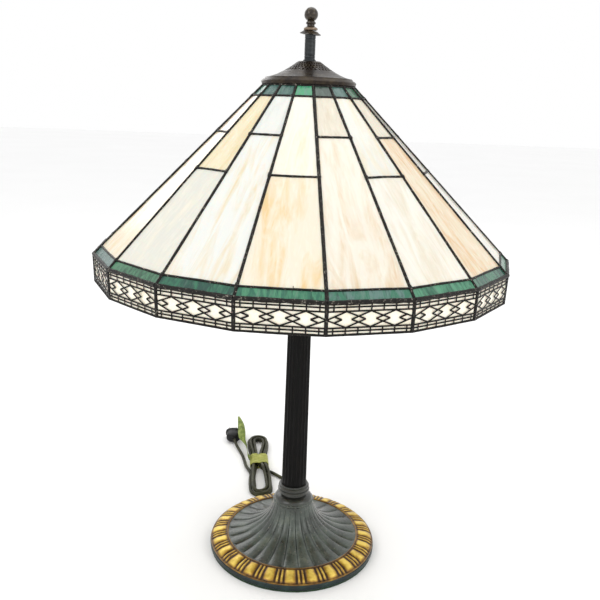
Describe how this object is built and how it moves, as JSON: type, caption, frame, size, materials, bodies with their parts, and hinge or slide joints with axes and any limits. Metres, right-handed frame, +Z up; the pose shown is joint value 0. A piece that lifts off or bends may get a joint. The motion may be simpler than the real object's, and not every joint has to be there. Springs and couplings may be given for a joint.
{
  "type": "table lamp",
  "caption": "Table lamp: leaded glass shade of flat panels with a filigree skirt, on a fluted column and a cast fluted base, with its cord tied in a hank.",
  "frame": {"origin": "on the lamp's axis, on the surface it stands on", "axes": "+Z up along the column; -Y is the front; the cord leaves the base at +Y"},
  "size_m": [0.5062, 0.6154, 0.7015],
  "materials": {
    "lead": "patinated lead and solder, satin",
    "cream_glass": "opalescent, glossy",
    "green_glass": "opalescent, glossy",
    "filigree_brass": "darkened stamped brass",
    "bronze": "brown bronze patina, satin",
    "dark_bronze": "dark bronze patina, satin",
    "black_steel": "blue-black, satin",
    "steel": "zinc plated thread",
    "brass": "drawn brass",
    "opal_glass": "frosted white",
    "black_bronze": "black bronze, satin",
    "patina": "grey-green patina with worn gilt border",
    "felt": "felt",
    "rubber": "moulded, matte",
    "cord_plastic": "vinyl, satin",
    "paper_tape": "matte paper tape",
    "plug_plastic": "moulded, satin"
  },
  "bodies": {
    "root": {"centre_rod": "steel", "twin_socket": "brass", "riser_sleeve": "black_steel", "column": "black_bronze", "base_casting": "patina", "base_pad": "felt", "cord_bushing": "rubber", "cord_lead": "cord_plastic", "cord_tail": "cord_plastic", "cord_hank": "cord_plastic", "hank_tie": "paper_tape", "plug": "plug_plastic"},
    "shade": {"lead_frame": "lead", "upper_pane_01": "cream_glass", "upper_pane_02": "cream_glass", "upper_pane_03": "cream_glass", "upper_pane_04": "cream_glass", "upper_pane_05": "cream_glass", "upper_pane_06": "cream_glass", "upper_pane_07": "cream_glass", "upper_pane_08": "cream_glass", "upper_pane_09": "cream_glass", "upper_pane_10": "cream_glass", "upper_pane_11": "cream_glass", "upper_pane_12": "cream_glass", "upper_pane_13": "cream_glass", "upper_pane_14": "cream_glass", "upper_pane_15": "cream_glass", "upper_pane_16": "cream_glass", "upper_pane_17": "cream_glass", "upper_pane_18": "cream_glass", "lower_pane_01": "cream_glass", "lower_pane_02": "cream_glass", "lower_pane_03": "cream_glass", "lower_pane_04": "cream_glass", "lower_pane_05": "cream_glass", "lower_pane_06": "cream_glass", "lower_pane_07": "cream_glass", "lower_pane_08": "cream_glass", "lower_pane_09": "cream_glass", "lower_pane_10": "cream_glass", "lower_pane_11": "cream_glass", "lower_pane_12": "cream_glass", "lower_pane_13": "cream_glass", "lower_pane_14": "cream_glass", "lower_pane_15": "cream_glass", "lower_pane_16": "cream_glass", "lower_pane_17": "cream_glass", "lower_pane_18": "cream_glass", "top_band_glass": "green_glass", "edge_band_glass": "green_glass", "skirt_glass": "cream_glass", "skirt_filigree": "filigree_brass", "vented_cap": "bronze"},
    "finial_carrier": {"finial_washer": "bronze"},
    "finial": {"finial_knob": "dark_bronze"},
    "bulb_left": {"bulb_1": "opal_glass"},
    "bulb_right": {"bulb_2": "opal_glass"},
    "chain_left": {"pull_chain_1": "brass"},
    "chain_right": {"pull_chain_2": "brass"}
  },
  "joints": [
    {"name": "shade_turn", "type": "hinge", "parent": "root", "child": "shade", "pos_m": [0, 0, 0.6], "axis": [0, 0, 1], "continuous": true},
    {"name": "finial_rise", "type": "slide", "parent": "root", "child": "finial_carrier", "axis": [0, 0, 1], "range_m": [0, 0.009]},
    {"name": "finial_turn", "type": "hinge", "parent": "finial_carrier", "child": "finial", "pos_m": [0, 0, 0.6757], "axis": [0, 0, 1], "range_deg": [0, 3443]},
    {"name": "bulb_1_out", "type": "slide", "parent": "root", "child": "bulb_left", "axis": [-0.7071, 0, -0.7071], "range_m": [0, 0.028]},
    {"name": "bulb_2_out", "type": "slide", "parent": "root", "child": "bulb_right", "axis": [0.7071, 0, -0.7071], "range_m": [0, 0.028]},
    {"name": "chain_1_pull", "type": "slide", "parent": "root", "child": "chain_left", "axis": [0, 0, -1], "range_m": [0, 0.008], "stiffness_N_per_m": 400},
    {"name": "chain_2_pull", "type": "slide", "parent": "root", "child": "chain_right", "axis": [0, 0, -1], "range_m": [0, 0.008], "stiffness_N_per_m": 400}
  ],
  "couplings": [
    {"joint": "finial_turn", "follows": "finial_rise", "rad_per_m": 6676}
  ]
}
